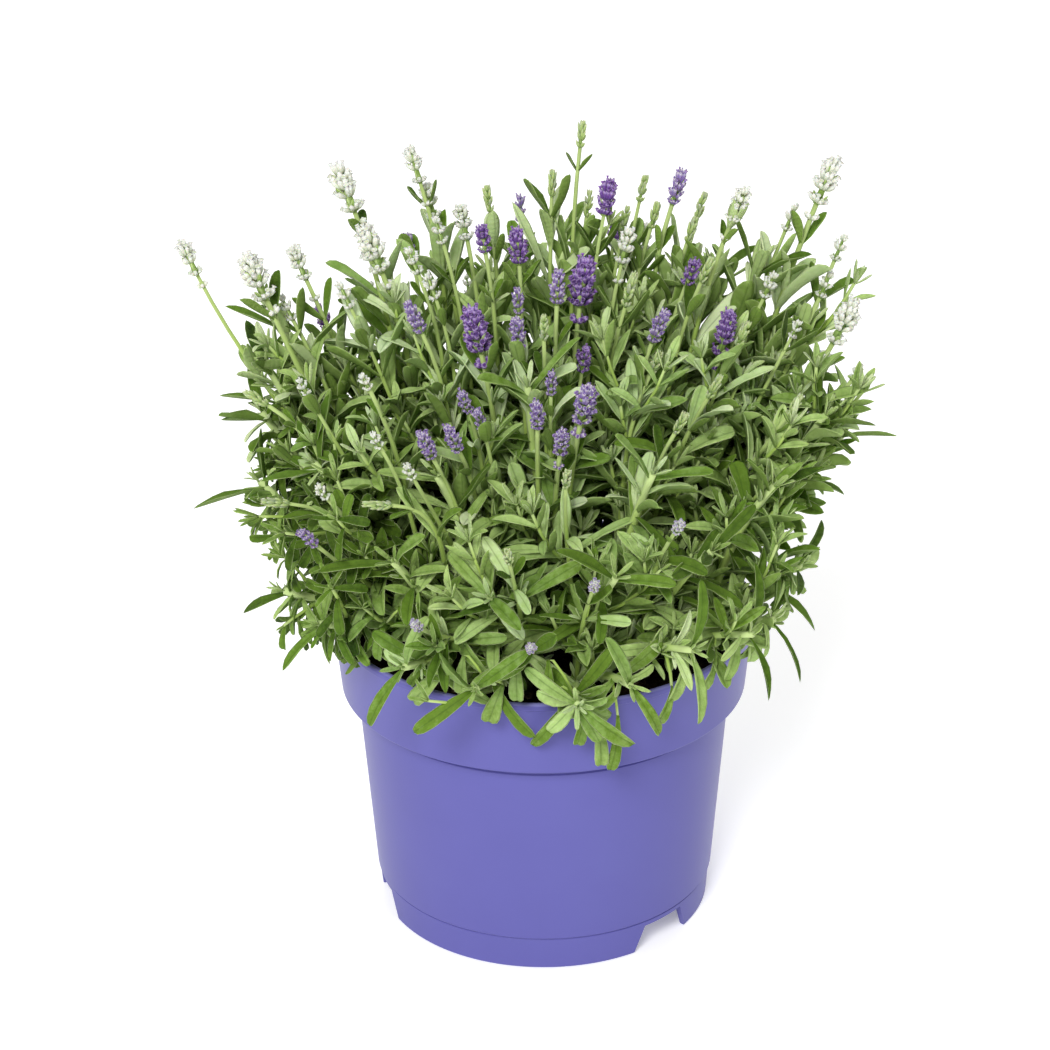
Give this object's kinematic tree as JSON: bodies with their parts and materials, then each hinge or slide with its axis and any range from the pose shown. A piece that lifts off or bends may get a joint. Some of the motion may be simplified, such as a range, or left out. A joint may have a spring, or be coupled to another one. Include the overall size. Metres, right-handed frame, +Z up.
{
  "type": "potted lavender",
  "caption": "Potted lavender in a round moulded nursery pot: a spreading dome of narrow-leaved stems with white, violet and deep purple flower spikes.",
  "frame": {"origin": "the middle of the pot's foot, on the surface that it stands on", "axes": "+Z up along the pot's axis, -Y the front as pictured, +X to the viewer's right"},
  "size_m": [0.3117, 0.265, 0.3486],
  "materials": {
    "pot": "satin moulded violet-blue polypropylene",
    "soil": "matt dark crumbly compost",
    "leafy_stems": "matt grey-green leaves on light green stems",
    "bloom_white": "matt white florets on pale green calyces",
    "bloom_deep_purple": "matt deep purple florets",
    "bloom_violet": "matt light violet florets on pale calyces"
  },
  "bodies": {
    "root": {"bloom_deep_purple_13": "bloom_deep_purple", "bloom_deep_purple_14": "bloom_deep_purple", "bloom_deep_purple_15": "bloom_deep_purple", "bloom_deep_purple_16": "bloom_deep_purple", "bloom_deep_purple_17": "bloom_deep_purple", "bloom_violet_18": "bloom_violet", "bloom_violet_19": "bloom_violet", "bloom_violet_20": "bloom_violet", "bloom_violet_21": "bloom_violet", "bloom_violet_22": "bloom_violet", "bloom_violet_23": "bloom_violet", "bloom_violet_24": "bloom_violet", "bloom_violet_25": "bloom_violet", "bloom_violet_26": "bloom_violet", "bloom_violet_27": "bloom_violet", "bloom_white_01": "bloom_white", "bloom_white_02": "bloom_white", "bloom_white_03": "bloom_white", "bloom_white_04": "bloom_white", "bloom_white_05": "bloom_white", "bloom_white_06": "bloom_white", "bloom_white_07": "bloom_white", "bloom_white_08": "bloom_white", "bloom_white_09": "bloom_white", "bloom_white_10": "bloom_white", "bloom_white_11": "bloom_white", "bloom_white_12": "bloom_white", "pot": "pot", "soil": "soil", "stems_01": "leafy_stems", "stems_02": "leafy_stems", "stems_03": "leafy_stems", "stems_04": "leafy_stems", "stems_05": "leafy_stems", "stems_06": "leafy_stems", "stems_07": "leafy_stems", "stems_08": "leafy_stems", "stems_09": "leafy_stems", "stems_10": "leafy_stems", "stems_11": "leafy_stems", "stems_12": "leafy_stems", "stems_13": "leafy_stems", "stems_14": "leafy_stems", "stems_15": "leafy_stems", "stems_16": "leafy_stems", "stems_17": "leafy_stems", "stems_18": "leafy_stems", "stems_19": "leafy_stems", "stems_20": "leafy_stems", "stems_21": "leafy_stems", "stems_22": "leafy_stems", "stems_23": "leafy_stems", "stems_24": "leafy_stems", "stems_25": "leafy_stems", "stems_26": "leafy_stems", "stems_27": "leafy_stems"}
  },
  "joints": []
}
